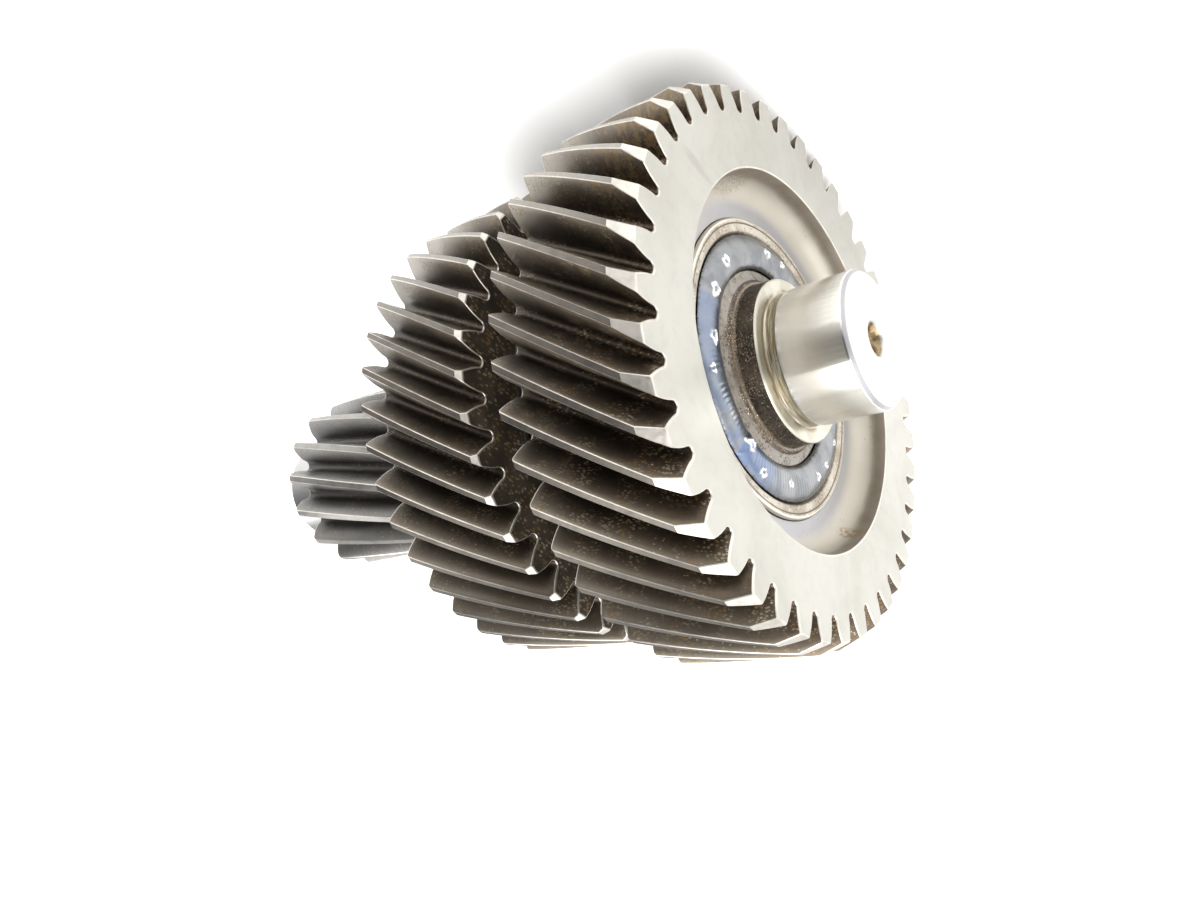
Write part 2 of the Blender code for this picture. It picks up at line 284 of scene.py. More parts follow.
def gear_mesh(name, gear, start, end, stations, tip_at, deburrs, front, rear, rim, bore, chamfer, materials):
    """front and rear list (station, radius) from the face's outer edge in to the bore.

    Lands on the front chamfer are as bright as the other broken edges.
    """
    teeth = toothed_rings(gear, start, end, stations, tip_at, *deburrs)
    first, last = teeth[0][2], teeth[-1][2]
    rings, kinds = [], []

    def add(x, radius, angles, kind):
        rings.append(circle(x, radius, angles))
        kinds.append(kind)

    for x, radius, angles in bore_rings(rear[-1][0], front[-1][0], last, first, bore):
        add(x, radius, angles, BORE)
    for x, radius in front[::-1]:
        add(x, radius, first, FACE if radius >= rim else EDGE if radius >= rim - RIM_BREAK else DISH)
    crisp = [len(rings)]
    for i, (x, radius, angles) in enumerate(teeth):
        add(x, radius, angles, EDGE if on_edge(i, len(teeth)) else FLANK)
    kinds[-1] = REAR
    crisp.append(len(rings) - 1)
    for x, radius in rear:
        add(x, radius, last, REAR if radius > rim else DISH)
    kinds = np.array(kinds)
    lands, bevels = tip_columns(gear)
    on_chamfer = np.array([ring[:, 0].max() < FACE_X + (start + chamfer) * MM - 1e-6 for ring in rings])

    def paint(band, column):
        kind = kinds[band]
        land = np.where(on_chamfer[band], EDGE, LAND)
        kind = np.where((kind == FLANK) & lands[column], land, kind)
        return np.where((kind == FLANK) & bevels[column], EDGE, kind)

    return loft(name, rings, materials, paint, closed=True, crisp=crisp)


# ---------------------------------------------------------------- materials

PAINTED_LIGHT_BELOW, PAINTED_SHADE_ABOVE = -45.0 * MM, 35.0 * MM      # heights between which the painted light of the lower side gives way to painted shade on the upper side
# Soft ellipses on the front: y, z, length and width in millimetres, then tilt in degrees.
WIPED_STREAK = (-77.0, -27.5, 12.5, 2.6, 5.0)
RUST_PATCH = (55.2, 43.0, 5.0, 3.6, 125.0)
RECESS_STAIN = (-45.9, -50.9, 17.0, 4.6, 138.0)


class Paint:
    """A small wrapper that makes node graphs readable."""

    def __init__(self, name):
        self.material = bpy.data.materials.new(name)
        self.material.use_nodes = True
        self.tree = self.material.node_tree
        self.shader = self.tree.nodes["Principled BSDF"]
        self.place = self.node("ShaderNodeTexCoord").outputs["Object"]
        parts = self.node("ShaderNodeSeparateXYZ", Vector=self.place).outputs
        self.x, self.y, self.z = parts
        square_y, square_z = (self.math("MULTIPLY", part, part) for part in (self.y, self.z))
        self.radius = self.math("SQRT", self.math("ADD", square_y, square_z))

    def node(self, kind, settings=None, **inputs):
        made = self.tree.nodes.new(kind)
        for key, value in (settings or {}).items():
            setattr(made, key, value)
        for key, value in inputs.items():
            self.feed(made.inputs[key.replace("_", " ")], value)
        return made

    def feed(self, socket, value):
        if isinstance(value, bpy.types.NodeSocket):
            self.tree.links.new(value, socket)
        else:
            socket.default_value = (*value, 1.0) if isinstance(value, tuple) and len(value) == 3 \
                and socket.type == "RGBA" else value

    def math(self, operation, a, b=0.0, clamp=False):
        made = self.tree.nodes.new("ShaderNodeMath")
        made.operation, made.use_clamp = operation, clamp
        self.feed(made.inputs[0], a)
        self.feed(made.inputs[1], b)
        return made.outputs[0]

    def ramp(self, value, low, high, start=0.0, end=1.0, smooth=True):
        """Value mapped from low..high to start..end and held there."""
        made = self.node("ShaderNodeMapRange",
                         {"interpolation_type": "SMOOTHSTEP" if smooth else "LINEAR"})
        for socket, number in zip(list(made.inputs)[:5], (value, low, high, start, end)):
            self.feed(socket, number)
        return made.outputs[0]

    def band(self, value, low, high, soft):
        """1 between low and high, fading over soft outside."""
        up = self.ramp(value, low - soft, low)
        down = self.ramp(value, high, high + soft, 1.0, 0.0)
        return self.math("MULTIPLY", up, down)

    def stretched(self, scale):
        return self.node("ShaderNodeMapping", Vector=self.place, Scale=scale).outputs[0]

    def noise(self, scale, detail=3.0, rough=0.55, at=None, warp=0.0):
        return self.node("ShaderNodeTexNoise", Vector=at or self.place, Scale=scale, Detail=detail,
                         Roughness=rough, Distortion=warp).outputs["Fac"]

    def cells(self, scale, at):
        return self.node("ShaderNodeTexVoronoi", Vector=at, Scale=scale).outputs["Distance"]

    def mix(self, share, a, b):
        made = self.node("ShaderNodeMix", {"data_type": "RGBA"})
        self.feed(made.inputs["Factor"], share)
        colours = [s for s in made.inputs if s.type == "RGBA"]
        self.feed(colours[0], a)
        self.feed(colours[1], b)
        return next(s for s in made.outputs if s.type == "RGBA")

    def turning(self, pitch):
        """Fine rings left by a lathe or grinder, in radius."""
        return self.math("SINE", self.math("MULTIPLY", self.radius, FULL / pitch))

    def bump(self, height, strength, distance):
        made = self.node("ShaderNodeBump", Height=height)
        made.inputs["Strength"].default_value = strength
        made.inputs["Distance"].default_value = distance
        if self.shader.inputs["Normal"].is_linked:
            previous = self.shader.inputs["Normal"].links[0].from_socket
            self.tree.links.new(previous, made.inputs["Normal"])
        self.tree.links.new(made.outputs[0], self.shader.inputs["Normal"])

    def blot(self, y, z, long, wide, tilt):
        """1 inside a soft ellipse on a face square to the shaft, 0 outside it; sizes in millimetres."""
        ty, tz = math.cos(math.radians(tilt)), math.sin(math.radians(tilt))
        dy, dz = self.math("SUBTRACT", self.y, y * MM), self.math("SUBTRACT", self.z, z * MM)
        along = self.math("ADD", self.math("MULTIPLY", dy, ty), self.math("MULTIPLY", dz, tz))
        across = self.math("SUBTRACT", self.math("MULTIPLY", dz, ty), self.math("MULTIPLY", dy, tz))
        along = self.math("DIVIDE", along, long * MM)
        across = self.math("DIVIDE", across, wide * MM)
        reach = self.math("ADD", self.math("MULTIPLY", along, along), self.math("MULTIPLY", across, across))
        return self.ramp(reach, 0.1, 1.0, 1.0, 0.0)

    def specks(self, scale, low, high, patch_scale, patch_low, patch_high, squash=(1.0, 1.0, 1.0)):
        """Small dots that gather in patches; a squash below 1 draws them out along that axis."""
        dots = self.ramp(self.cells(scale, self.stretched(squash)), low, high, 1.0, 0.0)
        return self.math("MULTIPLY", dots, self.ramp(self.noise(patch_scale, 2.0), patch_low, patch_high))

    def done(self, colour, roughness, metallic):
        self.feed(self.shader.inputs["Base Color"], colour)
        self.feed(self.shader.inputs["Roughness"], roughness)
        self.feed(self.shader.inputs["Metallic"], metallic)
        return self.material


def flank_steel(name, root_r, tip_r, front, back, dark, pale, bare, gold_amount):
    """Hobbed flanks under old oil, golden near the front face; darker deep in the slot and paler to the tip,
    partly the oil's tone and partly painted shade of the slot.

    The lower side of the gears is painted paler, pale further down the flank, and the upper side darker:
    painted light and painted shade for how the light falls there.

    front and back are the stations where the golden film ends and the bare metal begins.
    """
    p = Paint(name)
    # depth and shade paint the slot's shade into the colour: darker deep in the slot, paler to the tip
    depth = p.ramp(p.radius, (root_r - 0.5) * MM, (tip_r + 0.5) * MM, smooth=False)
    cloud = p.noise(50.0, 3.0, 0.55)
    drift = p.math("MULTIPLY", p.math("SUBTRACT", cloud, 0.5), 0.4)
    # painted light and shade by height: paler on the lower side of the gear, darker on the upper side
    lower_side_painted_light = p.ramp(p.z, PAINTED_LIGHT_BELOW, PAINTED_SHADE_ABOVE, 1.0, 0.0)
    power = p.ramp(lower_side_painted_light, 0.0, 1.0, 3.2, 1.35, smooth=False)
    shade = p.math("ADD", p.math("POWER", depth, power), drift, clamp=True)
    colour = p.mix(shade, dark, pale)
    silver = p.ramp(p.math("ADD", p.x, p.math("MULTIPLY", cloud, 0.012)), FACE_X + back * MM,
                    FACE_X + (back + 26.0) * MM)
    silver = p.math("MULTIPLY", silver, p.ramp(depth, 0.05, 0.6, 0.1, 0.65))
    # more bare metal shows on the lower side, as part of its painted light
    silver = p.math("MULTIPLY", silver, p.ramp(lower_side_painted_light, 0.0, 1.0, 0.25, 1.0))
    colour = p.mix(silver, colour, bare)
    golden = p.ramp(p.math("SUBTRACT", p.x, p.math("MULTIPLY", cloud, 0.02)), FACE_X + (front - 18.0) * MM,
                    FACE_X + front * MM, 1.0, 0.0)
    golden = p.math("MULTIPLY", golden, p.ramp(p.noise(420.0, 4.0, 0.65), 0.42, 0.62))
    # the golden film is held back on the upper side, where the flank carries painted shade
    golden = p.math("MULTIPLY", golden, p.ramp(lower_side_painted_light, 0.0, 1.0, 0.15, 1.0))
    colour = p.mix(p.math("MULTIPLY", golden, gold_amount), colour, (0.27, 0.18, 0.08))
    hob = p.noise(1.0, 3.0, 0.6, at=p.stretched((900.0, 160.0, 160.0)))
    colour = p.mix(p.ramp(hob, 0.45, 0.75, 0.0, 0.12), colour, (0.040, 0.032, 0.024))
    grit = p.specks(1150.0, 0.24, 0.46, 75.0, 0.42, 0.62, (0.5, 1.0, 1.0))
    tint = p.mix(p.ramp(p.noise(240.0, 1.0), 0.4, 0.6), (0.25, 0.16, 0.06), (0.34, 0.29, 0.21))
    colour = p.mix(p.math("MULTIPLY", grit, gold_amount), colour, tint)
    fleck = p.specks(640.0, 0.08, 0.17, 50.0, 0.42, 0.55, (0.5, 1.0, 1.0))
    colour = p.mix(p.math("MULTIPLY", fleck, 0.55), colour, (0.55, 0.48, 0.36))
    p.bump(p.math("ADD", hob, grit), 0.25, 0.00005)
    rough = p.ramp(cloud, 0.3, 0.7, 0.38, 0.50)
    return p.done(colour, p.math("ADD", rough, p.math("MULTIPLY", grit, 0.3)), 0.80)


def edge_steel(name, colour, rough, lower_side_painted_colour=None):
    """Bare broken edges and tooth lands; lands are painted paler on the lower side of the gears, as painted
    light.
    """
    p = Paint(name)
    scuff = p.noise(700.0, 3.0, 0.6)
    p.bump(scuff, 0.2, 0.00004)
    tone = p.mix(p.ramp(p.noise(160.0), 0.40, 0.75), colour, tuple(0.75 * c for c in colour))
    if lower_side_painted_colour:
        # painted light: lands paler on the lower side of the gears
        tone = p.mix(p.ramp(p.z, PAINTED_LIGHT_BELOW, PAINTED_SHADE_ABOVE, 1.0, 0.0), tone, lower_side_painted_colour)
    return p.done(tone, p.ramp(scuff, 0.3, 0.7, rough, rough + 0.12), 0.92)


def turned_face(name, colour, stain):
    """Satin turned face with faint rings, clouds of dried oil and one wiped streak."""
    p = Paint(name)
    cloud = p.noise(26.0, 5.0, 0.6, warp=0.6)
    tone = p.mix(p.ramp(cloud, 0.42, 0.72, 0.0, 0.55), colour, stain)
    mottle = p.noise(210.0, 3.0, 0.6)
    tone = p.mix(p.ramp(mottle, 0.45, 0.75, 0.0, 0.30), tone, tuple(0.80 * c for c in colour))
    tone = p.mix(p.math("MULTIPLY", p.specks(330.0, 0.03, 0.07, 40.0, 0.52, 0.60), 0.7), tone,
                 (0.25, 0.21, 0.15))
    streak = p.blot(*WIPED_STREAK)
    streak = p.math("MULTIPLY", streak, p.ramp(p.noise(150.0), 0.3, 0.6, 0.05, 0.45))
    tone = p.mix(streak, tone, (0.27, 0.26, 0.24))
    p.bump(p.math("MULTIPLY", p.turning(0.00045), 0.5), 0.10, 0.00003)
    p.bump(p.noise(900.0, 2.0), 0.12, 0.00004)
    return p.done(tone, p.ramp(cloud, 0.3, 0.7, 0.40, 0.52), 0.88)


def dull_face(name, colour, stain):
    """Turned face away from the handling marks, under an even film of dried oil."""
    p = Paint(name)
    cloud = p.noise(34.0, 4.0, 0.6, warp=0.5)
    tone = p.mix(p.ramp(cloud, 0.38, 0.68), colour, stain)
    tone = p.mix(p.math("MULTIPLY", p.specks(900.0, 0.2, 0.4, 80.0, 0.45, 0.6), 0.6), tone,
                 (0.20, 0.14, 0.07))
    p.bump(p.turning(0.0005), 0.10, 0.00003)
    return p.done(tone, p.ramp(cloud, 0.3, 0.7, 0.42, 0.55), 0.85)


def dish_steel(name):
    """Turned recess: lavender-grey on the web floor, beige on the fillet, with painted shade just under the
    rim.
    """
    p = Paint(name)
    floor = (0.385, 0.378, 0.392)
    fillet = (0.43, 0.40, 0.345)
    colour = p.mix(p.ramp(p.radius, 0.0605, 0.0660), floor, fillet)
    rim_shade_reach = p.math("ADD", p.radius, p.math("MULTIPLY", p.noise(120.0, 2.0), 0.0006))
    # painted shade on the recess wall just under the rim
    colour = p.mix(p.ramp(rim_shade_reach, 0.0698, 0.0708, 0.0, 0.75), colour, (0.17, 0.13, 0.09))
    cloud = p.noise(38.0, 4.0, 0.6, warp=0.4)
    colour = p.mix(p.ramp(cloud, 0.45, 0.75, 0.0, 0.3), colour, (0.42, 0.385, 0.32))
    colour = p.mix(p.math("MULTIPLY", p.specks(420.0, 0.05, 0.13, 55.0, 0.50, 0.60), 0.8), colour,
                   (0.22, 0.15, 0.08))
    rust = p.math("MULTIPLY", p.blot(*RUST_PATCH), p.ramp(p.noise(600.0, 3.0), 0.40, 0.62))
    colour = p.mix(p.math("MULTIPLY", rust, 0.85), colour, (0.26, 0.18, 0.07))
    stain = p.math("MULTIPLY", p.blot(*RECESS_STAIN),
                   p.ramp(p.noise(1500.0, 4.0, 0.7), 0.42, 0.60))
    colour = p.mix(p.math("MULTIPLY", stain, 0.7), colour, (0.20, 0.155, 0.095))
    p.bump(p.turning(0.0006), 0.12, 0.00003)
    p.bump(p.noise(650.0, 2.0), 0.15, 0.00004)
    return p.done(colour, p.ramp(cloud, 0.3, 0.7, 0.46, 0.58), 0.88)


def dark_steel(name, colour=(0.06, 0.052, 0.042), flakes=0.0):
    """Unseen machined metal, and oily gear faces in the gap between the gears painted near-black as painted
    shade of that gap; flakes adds golden scale stuck in the oil.
    """
    p = Paint(name)
    tone = p.mix(p.ramp(p.noise(90.0, 4.0), 0.4, 0.7), colour, tuple(2.2 * c for c in colour))
    if flakes:
        scale = p.specks(800.0, 0.24, 0.44, 90.0, 0.36, 0.54, (1.0, 0.6, 1.0))
        tint = p.mix(p.ramp(p.noise(260.0, 1.0), 0.45, 0.6), (0.26, 0.17, 0.06), (0.36, 0.31, 0.22))
        tone = p.mix(p.math("MULTIPLY", scale, flakes), tone, tint)
    p.bump(p.noise(600.0), 0.3, 0.0001)
    return p.done(tone, 0.5, 0.6)


def tinted_ring(name):
    """Heat-tinted sleeve face beside the weld: brown-grey and speckled, with a painted shadow line inside its
    bright outer lip.
    """
    p = Paint(name)
    grain = p.noise(480.0, 4.0, 0.7)
    brown = p.mix(p.ramp(p.noise(110.0, 3.0), 0.35, 0.65), (0.33, 0.285, 0.23), (0.52, 0.48, 0.415))
    brown = p.mix(p.math("MULTIPLY", p.specks(800.0, 0.18, 0.36, 90.0, 0.38, 0.54), 0.75), brown,
                  (0.10, 0.075, 0.05))
    brown = p.mix(p.math("MULTIPLY", p.specks(640.0, 0.12, 0.28, 70.0, 0.40, 0.55), 0.8), brown,
                  (0.72, 0.68, 0.58))
    soot = p.ramp(p.math("ADD", p.radius, p.math("MULTIPLY", grain, 0.0018)), 0.0516, 0.0527, 0.75, 0.0)
    colour = p.mix(soot, brown, (0.06, 0.048, 0.036))
    # painted shadow: a thin dark line at the inner foot of the raised lip
    colour = p.mix(p.band(p.radius, 0.0541, 0.0544, 0.0003), colour, (0.13, 0.10, 0.07))
    colour = p.mix(p.ramp(p.radius, 0.0550, 0.0555), colour, (0.62, 0.59, 0.52))
    p.bump(grain, 0.4, 0.0001)
    return p.done(colour, p.ramp(p.radius, 0.0548, 0.0556, 0.55, 0.28), 0.78)


def weld_steel(name):
    """Smooth grey bead, blue beside its seam, with gritty toes and small painted glints on its crown.

    The mesh carries two marks: toe runs from -1 at the inner toe to 1 at the outer one, painted_glint is 1 on
    the painted bright ring of a glint spot and -1 in its painted dark middle.
    """
    p = Paint(name)
    toe = p.node("ShaderNodeAttribute", {"attribute_name": "toe"}).outputs["Fac"]
    painted_glint = p.node("ShaderNodeAttribute", {"attribute_name": "painted_glint"}).outputs["Fac"]
    cloud = p.noise(42.0, 4.0, 0.6, warp=0.8)
    colour = p.mix(p.ramp(p.noise(120.0, 3.0), 0.4, 0.65), (0.235, 0.24, 0.248), (0.155, 0.163, 0.175))
    angle = p.math("ARCTAN2", p.z, p.y)
    low, high = math.radians(WELD_SEAM - 34.0), math.radians(WELD_SEAM)
    deep = p.math("MULTIPLY", p.ramp(angle, low, low + 0.35), p.ramp(angle, high, high + 0.05, 1.0, 0.0))
    faint = p.band(angle, high + 0.15, high + 1.1, 0.25)
    side = p.math("MAXIMUM", deep, p.math("MULTIPLY", faint, 0.48))
    blue = p.mix(p.ramp(p.noise(85.0, 2.0), 0.4, 0.65), (0.105, 0.155, 0.285), (0.165, 0.205, 0.275))
    colour = p.mix(p.math("MULTIPLY", side, p.ramp(cloud, 0.34, 0.54)), colour, blue)
    grain = p.noise(620.0, 4.0, 0.7)
    ragged = p.math("MULTIPLY", p.math("SUBTRACT", grain, 0.5), 0.45)
    outer = p.ramp(p.math("ADD", toe, ragged), 0.92, 1.06, 0.0, 0.85)
    inner = p.ramp(p.math("SUBTRACT", ragged, toe), 0.74, 0.96, 0.0, 0.85)
    edge = p.math("MAXIMUM", outer, inner)
    colour = p.mix(edge, colour, (0.055, 0.045, 0.036))
    colour = p.mix(p.math("MULTIPLY", p.specks(560.0, 0.05, 0.12, 80.0, 0.44, 0.55), 0.5), colour,
                   (0.10, 0.09, 0.08))
    # painted glints: white on the ring of each glint spot, near-black in its middle
    colour = p.mix(p.math("MAXIMUM", painted_glint, 0.0), colour, (0.97, 0.97, 0.96))
    colour = p.mix(p.ramp(painted_glint, -1.0, 0.0, 1.0, 0.0), colour, (0.06, 0.05, 0.045))
    p.bump(p.noise(240.0, 3.0), 0.25, 0.0002)
    p.bump(p.math("MULTIPLY", grain, p.math("ADD", edge, 0.12)), 0.6, 0.0003)
    rough = p.ramp(edge, 0.0, 1.0, 0.30, 0.6)
    return p.done(colour, p.math("MULTIPLY", rough, p.ramp(painted_glint, 0.0, 1.0, 1.0, 0.7)), 0.85)


def ground_steel(name):
    """Ground steel: scratches run round it, so its reflections smear along the shaft.

    The near journal is bright from handling; the neck and the far journal keep a greyer oil film.
    """
    p = Paint(name)
    rings = p.noise(1.0, 3.0, 0.6, at=p.stretched((2600.0, 25.0, 25.0)))
    wipe = p.noise(60.0, 4.0, 0.6)
    colour = p.mix(p.ramp(wipe, 0.45, 0.75, 0.0, 0.5), (0.95, 0.94, 0.90), (0.80, 0.775, 0.72))
    colour = p.mix(p.ramp(rings, 0.5, 0.75, 0.0, 0.25), colour, (0.67, 0.645, 0.59))
    film = p.ramp(p.x, FACE_X, FACE_X + 20.0 * MM, 0.0, 0.9)
    colour = p.mix(film, colour, (0.29, 0.288, 0.29))
    tangent = p.node("ShaderNodeTangent", {"direction_type": "RADIAL", "axis": "X"}).outputs[0]
    p.tree.links.new(tangent, p.shader.inputs["Tangent"])
    p.shader.inputs["Anisotropic"].default_value = 0.92
    p.shader.inputs["Anisotropic Rotation"].default_value = 0.25
    p.bump(rings, 0.05, 0.00003)
    return p.done(colour, p.ramp(wipe, 0.3, 0.7, 0.17, 0.21), 1.0)


def end_steel(name):
    """Bright turned end face with a greyer bevel; the centre hole holds brown grease."""
    p = Paint(name)
    cloud = p.noise(80.0, 4.0)
    hole = p.ramp(p.radius, 0.0058, 0.0064, 1.0, 0.0)
    colour = p.mix(p.ramp(cloud, 0.5, 0.75, 0.0, 0.30), (0.50, 0.49, 0.465), (0.43, 0.41, 0.365))
    grease = p.mix(p.ramp(p.noise(330.0), 0.4, 0.6), (0.13, 0.09, 0.045), (0.36, 0.28, 0.16))
    colour = p.mix(hole, colour, grease)
    colour = p.mix(p.ramp(p.radius, 0.02370, 0.02380), colour, (0.34, 0.335, 0.345))
    p.bump(p.turning(0.0005), 0.12, 0.00003)
    return p.done(colour, p.ramp(hole, 0.0, 1.0, 0.36, 0.5), 0.88)


def stained_steel(name):
    """Relief groove and shoulder: bright metal with golden-brown varnish held in the groove."""
    p = Paint(name)
    groove = p.ramp(p.radius, 0.0253, 0.0270, 1.0, 0.35)
    streaks = p.noise(1.0, 3.0, 0.6, at=p.stretched((2400.0, 90.0, 90.0)))
    varnish = p.math("MULTIPLY", p.ramp(streaks, 0.36, 0.58), groove)
    colour = p.mix(p.math("MULTIPLY", varnish, 0.9), (0.52, 0.50, 0.43), (0.19, 0.14, 0.07))
    soot = p.specks(620.0, 0.08, 0.2, 90.0, 0.42, 0.56)
    colour = p.mix(p.math("MULTIPLY", p.math("MULTIPLY", soot, groove), 0.8), colour, (0.12, 0.09, 0.05))
    p.bump(streaks, 0.2, 0.00005)
    return p.done(colour, 0.36, 0.88)


def sooty_shaded_steel(name):
    """Collar beside the weld: black-brown, partly soot and partly painted shade of the recess under the bead,
    gritty, and greyer where the bead meets it.
    """
    p = Paint(name)
    cloud = p.noise(110.0, 4.0, 0.65)
    # near-black ground: soot and painted shade of the recess under the bead
    colour = p.mix(p.ramp(cloud, 0.4, 0.65), (0.058, 0.046, 0.036), (0.125, 0.098, 0.072))
    colour = p.mix(p.band(p.radius, 0.0309, 0.0313, 0.0004), colour, (0.21, 0.17, 0.13))
    near_bead = p.math("MULTIPLY", p.ramp(p.radius, 0.0322, 0.0332),
                       p.ramp(p.noise(170.0, 4.0, 0.7), 0.3, 0.55))
    colour = p.mix(p.math("MULTIPLY", near_bead, 0.75), colour, (0.33, 0.31, 0.285))
    colour = p.mix(p.specks(1250.0, 0.22, 0.42, 140.0, 0.36, 0.58), colour, (0.34, 0.27, 0.18))
    colour = p.mix(p.specks(620.0, 0.08, 0.16, 90.0, 0.42, 0.52), colour, (0.70, 0.58, 0.40))
    colour = p.mix(p.math("MULTIPLY", p.specks(820.0, 0.20, 0.38, 100.0, 0.42, 0.56), 0.8), colour,
                   (0.025, 0.02, 0.016))
    p.bump(p.noise(700.0, 4.0), 0.5, 0.00015)
    return p.done(colour, p.ramp(cloud, 0.3, 0.7, 0.38, 0.55), 0.7)


large_flank = flank_steel("large_flank_steel", LARGE.root, LARGE.tip, 20.0, 34.0,
                          (0.048, 0.036, 0.026), (0.181, 0.153, 0.119), (0.44, 0.41, 0.36), 0.8)
second_flank = flank_steel("second_flank_steel", SECOND.root, SECOND.tip,
                           SECOND_START + 8.0, SECOND_END - 30.0,
                           (0.046, 0.035, 0.026), (0.168, 0.143, 0.111), (0.42, 0.395, 0.35), 0.55)
pinion_flank = flank_steel("pinion_flank_steel", PINION.root, PINION.tip, PINION_START, PINION_END - 40.0,
                           (0.075, 0.070, 0.064), (0.243, 0.236, 0.225), (0.32, 0.315, 0.305), 0.1)
broken_edge = edge_steel("broken_edge", (0.56, 0.53, 0.48), 0.30)
# each land's second colour is its painted light on the lower side of the gear
large_land = edge_steel("large_tooth_land", (0.125, 0.112, 0.096), 0.38, (0.36, 0.34, 0.30))
second_land = edge_steel("second_tooth_land", (0.105, 0.094, 0.080), 0.38, (0.30, 0.28, 0.25))
pinion_land = edge_steel("pinion_tooth_land", (0.24, 0.23, 0.215), 0.30)
front_face = turned_face("turned_front_face", (0.405, 0.395, 0.36), (0.355, 0.34, 0.30))
rear_face = dull_face("turned_rear_face", (0.30, 0.285, 0.25), (0.17, 0.145, 0.11))
# near-black faces in the narrow gap between the gears: painted shade of the gap over oily metal, with golden
# flakes
oily_gap_shaded_face = dark_steel("oily_gap_shaded_gear_face", (0.050, 0.040, 0.029), 0.9)
dish_metal = dish_steel("turned_recess")
hidden = dark_steel("hidden_machined_steel")


# ---------------------------------------------------------------- gears

LARGE_FRONT_TIP, LARGE_CHAMFER = 100.3, 7.6
SECOND_CHAMFER = 1.9
REAR_CHAMFER = 0.8
FACE_MARGIN = 1.6          # how far below the tooth roots the flat faces begin
LARGE_RIM, LARGE_WEB, LARGE_REAR_WEB = 70.9, 13.0, 8.0
SECOND_RIM, SECOND_WEB = 66.0, 7.0
WELD_ROOT = 7.0            # depth of the V groove under each bead


def large_tip(x):
    drop = max(0.0, 1.0 - x / LARGE_CHAMFER) * (LARGE.tip - LARGE_FRONT_TIP)
    rear = max(0.0, x - (LARGE_END - REAR_CHAMFER))
    return LARGE.tip - drop - rear


def second_tip(x):
    front = max(0.0, SECOND_CHAMFER - (x - SECOND_START))
    rear = max(0.0, x - (SECOND_END - REAR_CHAMFER))
    return SECOND.tip - front - rear


def make_large_gear():
    bore = SLEEVE_R + GAP
    front = [(0.0, LARGE.root - FACE_MARGIN), (0.0, 80.0), (0.0, 71.4)]
    front += dish(LARGE_RIM, 0.7, 61.0, 9.3, LARGE_WEB, 0.0, 1, 10)
    front += [(LARGE_WEB, 58.6), (LARGE_WEB, bore)]
    rear = [(LARGE_END, LARGE.root - FACE_MARGIN), (LARGE_END, 72.0)]
    rear += dish(LARGE_RIM, 0.9, 62.5, 7.5, LARGE_REAR_WEB, LARGE_END, -1, 7)
    rear += [(LARGE_END - LARGE_REAR_WEB, bore)]
    stations = [1.5, 3.0, 4.5, 6.0, 7.3, LARGE_CHAMFER, 8.2]
    stations += list(np.linspace(9.5, LARGE_END - 2.5, 24))
    stations += [LARGE_END - 1.4, LARGE_END - REAR_CHAMFER]
    gear = gear_mesh("large_helical_gear", LARGE, 0.0, LARGE_END, stations, large_tip, (0.45, 0.35),
                     front, rear, LARGE_RIM, bore, LARGE_CHAMFER,
                     [large_flank, broken_edge, front_face, dish_metal, hidden, large_land, oily_gap_shaded_face])
    return place(gear, "gear_steel", "large_gear")


def make_second_gear():
    start, end = SECOND_START, SECOND_END
    bore = SEAT + GAP
    front = [(start, SECOND.root - FACE_MARGIN), (start, 67.0)]
    front += dish(SECOND_RIM, 0.9, 59.0, 6.0, SECOND_WEB, start, 1, 6)
    front += [(start + SECOND_WEB, bore)]
    rear = [(end, SECOND.root - FACE_MARGIN), (end, 67.0)]
    rear += dish(SECOND_RIM, 0.9, 58.0, 6.5, end - REAR_TOE, end, -1, 8)
    rear += [(REAR_TOE, 52.0), (REAR_TOE - GAP, WELD_OUTER), (REAR_TOE - WELD_ROOT, bore)]
    stations = [start + 0.9, start + SECOND_CHAMFER] + list(np.linspace(start + 2.4, end - 2.4, 24))
    stations += [end - 1.4, end - REAR_CHAMFER]
    gear = gear_mesh("second_helical_gear", SECOND, start, end, stations, second_tip, (0.45, 0.4),
                     front, rear, SECOND_RIM, bore, SECOND_CHAMFER,
                     [second_flank, broken_edge, oily_gap_shaded_face, dish_metal, hidden, second_land, rear_face])
    return place(gear, "second_gear_steel", "second_gear")


# ---------------------------------------------------------------- shaft with its pinion

GROUND, ENDS, STAINED, SOOTY_SHADED, SHAFT_TEETH, SHAFT_EDGE, SHAFT_LAND = range(7)
JOURNAL_R, COLLAR_R, NECK_R = 25.0, 30.4, 29.2
CENTRE_MOUTH_R = 6.6
PINION_BEVEL = 1.6


def pinion_tip(x):
    near = max(0.0, PINION_BEVEL - (x - PINION_START))
    far = max(0.0, PINION_BEVEL - (PINION_END - x))
    return PINION.tip - near - far


